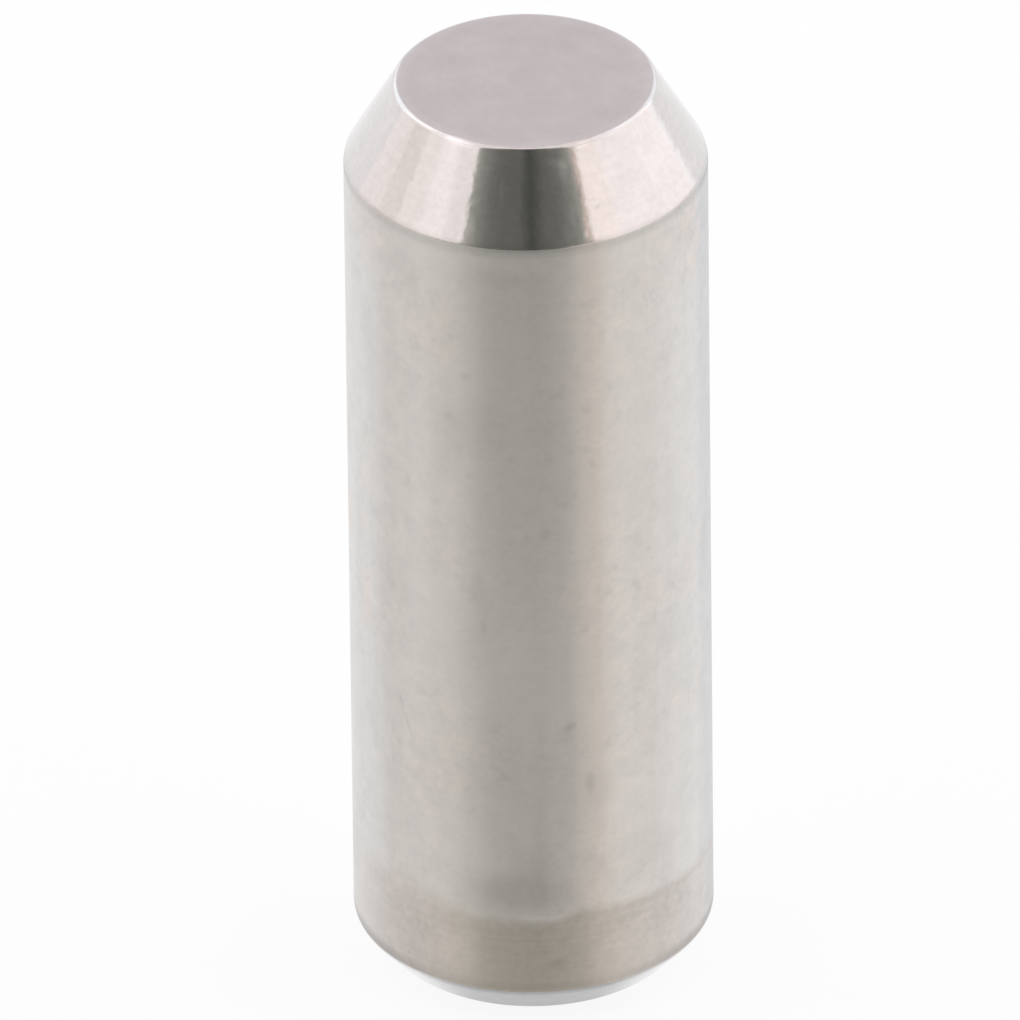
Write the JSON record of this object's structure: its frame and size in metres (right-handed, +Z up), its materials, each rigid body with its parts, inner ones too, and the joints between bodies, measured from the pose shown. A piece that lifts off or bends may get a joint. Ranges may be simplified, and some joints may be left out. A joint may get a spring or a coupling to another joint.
{
  "type": "dowel pin",
  "caption": "Ground steel dowel pin with a long lead chamfer at its upper end and a short chamfer round its foot, pressed into a reamed hole to locate mating parts.",
  "frame": {"origin": "centre of the foot face, which the pin stands on", "axes": "+Z runs up the pin's axis to the lead chamfer; X and Y are across it and alike, because the pin is turned"},
  "size_m": [0.008, 0.008, 0.022],
  "materials": {
    "ground_steel": "ground shank, bright turned chamfers, faced ends"
  },
  "bodies": {
    "root": {"dowel_pin": "ground_steel"}
  },
  "joints": []
}
